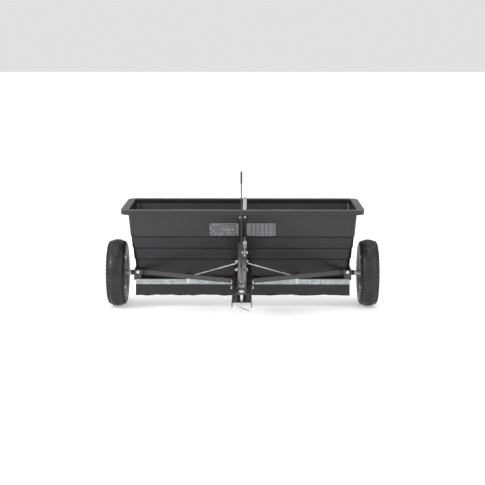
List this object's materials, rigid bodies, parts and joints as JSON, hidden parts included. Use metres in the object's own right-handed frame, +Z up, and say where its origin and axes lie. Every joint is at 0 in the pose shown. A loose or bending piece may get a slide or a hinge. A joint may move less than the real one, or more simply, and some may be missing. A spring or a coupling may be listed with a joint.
{
  "type": "tow-behind drop spreader",
  "caption": "Wide tow-behind drop spreader: tapered hopper over a slotted pan with a lever-worked shutter, drawbar and tongue, two pneumatic wheels.",
  "frame": {"origin": "on the ground under the middle of the machine, halfway between the rear of the hopper rim and the front end of the drawbar", "axes": "+X to the drive wheel (the right wheel seen from the tow side), +Y to the rear, tow side at -Y, +Z up"},
  "size_m": [1.3484, 1.0116, 0.727],
  "materials": {
    "hopper_poly": "moulded, fine grain",
    "black_paint": "gloss powder coat",
    "galvanised": "galvanised sheet",
    "zinc": "bright zinc plate",
    "tyre": "moulded rubber",
    "skirt_rubber": "sheet rubber",
    "grip_vinyl": "dipped vinyl",
    "rim_paint": "silver grey paint",
    "nylon": "moulded nylon",
    "valve_rubber": "moulded rubber",
    "label_vinyl": "printed vinyl"
  },
  "bodies": {
    "frame": {"bottom_pan": "galvanised", "brace_bolts": "zinc", "bracket_bolts": "zinc", "cross_strap": "galvanised", "drawbar": "black_paint", "drawbar_bracket": "black_paint", "hitch_tab": "black_paint", "hopper": "hopper_poly", "label": "label_vinyl", "left_bearing": "nylon", "left_brace": "black_paint", "left_end_plate": "black_paint", "left_strut": "zinc", "lever_pivot_bolt": "zinc", "lever_spacers": "nylon", "mount_bolts": "zinc", "pan_bolts": "zinc", "rail_bolts": "zinc", "right_bearing": "nylon", "right_brace": "black_paint", "right_end_plate": "black_paint", "right_strut": "zinc", "shutter_guides": "galvanised", "skirt": "skirt_rubber", "stop_lugs": "galvanised", "stop_spring": "zinc", "strap_bolts": "zinc", "strut_bolt": "zinc", "tongue_bolts": "zinc", "tongue_mount": "black_paint", "tongue_tube": "black_paint"},
    "axle": {"axle": "zinc", "agitator_vanes": "galvanised", "axle_washers": "zinc", "cotter_pins": "zinc", "drive_pin": "zinc", "right_tyre": "tyre", "right_rim_inner": "rim_paint", "right_rim_outer": "rim_paint", "right_rim_bolts": "zinc", "right_valve": "valve_rubber", "right_hub": "zinc"},
    "idler_wheel": {"left_tyre": "tyre", "left_rim_inner": "rim_paint", "left_rim_outer": "rim_paint", "left_rim_bolts": "zinc", "left_valve": "valve_rubber", "left_hub": "zinc", "left_wheel_bushes": "nylon"},
    "lever": {"lever": "zinc", "lever_grip": "grip_vinyl"},
    "shutter": {"shutter": "galvanised", "link_rod": "zinc", "link_bolt": "zinc"},
    "flow_stop": {"stop_rod": "zinc"},
    "wing_nut": {"wing_nut": "zinc"},
    "hitch_pin": {"hitch_pin": "zinc"},
    "hitch_clip": {"hitch_clip": "zinc"}
  },
  "joints": [
    {"name": "axle_turn", "type": "hinge", "parent": "frame", "child": "axle", "pos_m": [0, 0.28725, 0.168], "axis": [1, 0, 0], "continuous": true},
    {"name": "idler_turn", "type": "hinge", "parent": "frame", "child": "idler_wheel", "pos_m": [-0.628, 0.28725, 0.168], "axis": [1, 0, 0], "continuous": true},
    {"name": "lever_swing", "type": "hinge", "parent": "frame", "child": "lever", "pos_m": [0, -0.12275, 0.26343], "axis": [-1, 0, 0], "range_deg": [0, 28]},
    {"name": "shutter_slide", "type": "slide", "parent": "frame", "child": "shutter", "axis": [0, -1, 0], "range_m": [0, 0.0211]},
    {"name": "wing_nut_turn", "type": "hinge", "parent": "frame", "child": "wing_nut", "pos_m": [0.011, -0.13662, 0.29934], "axis": [0, -0.9329, -0.3602], "range_deg": [0, 4609]},
    {"name": "stop_slide", "type": "slide", "parent": "frame", "child": "flow_stop", "axis": [0, 0.9329, 0.3602], "range_m": [0, 0.016], "deforming": ["stop_spring"]},
    {"name": "pin_turn", "type": "hinge", "parent": "frame", "child": "hitch_pin", "pos_m": [0, -0.48475, 0.2], "axis": [0, 0, 1], "continuous": true},
    {"name": "clip_pull", "type": "slide", "parent": "hitch_pin", "child": "hitch_clip", "axis": [0.9397, 0, -0.342], "range_m": [0, 0.04]}
  ],
  "couplings": [
    {"joint": "shutter_slide", "follows": "lever_swing", "m_per_rad": 0.042972},
    {"joint": "wing_nut_turn", "follows": "stop_slide", "rad_per_m": 5026.5}
  ]
}
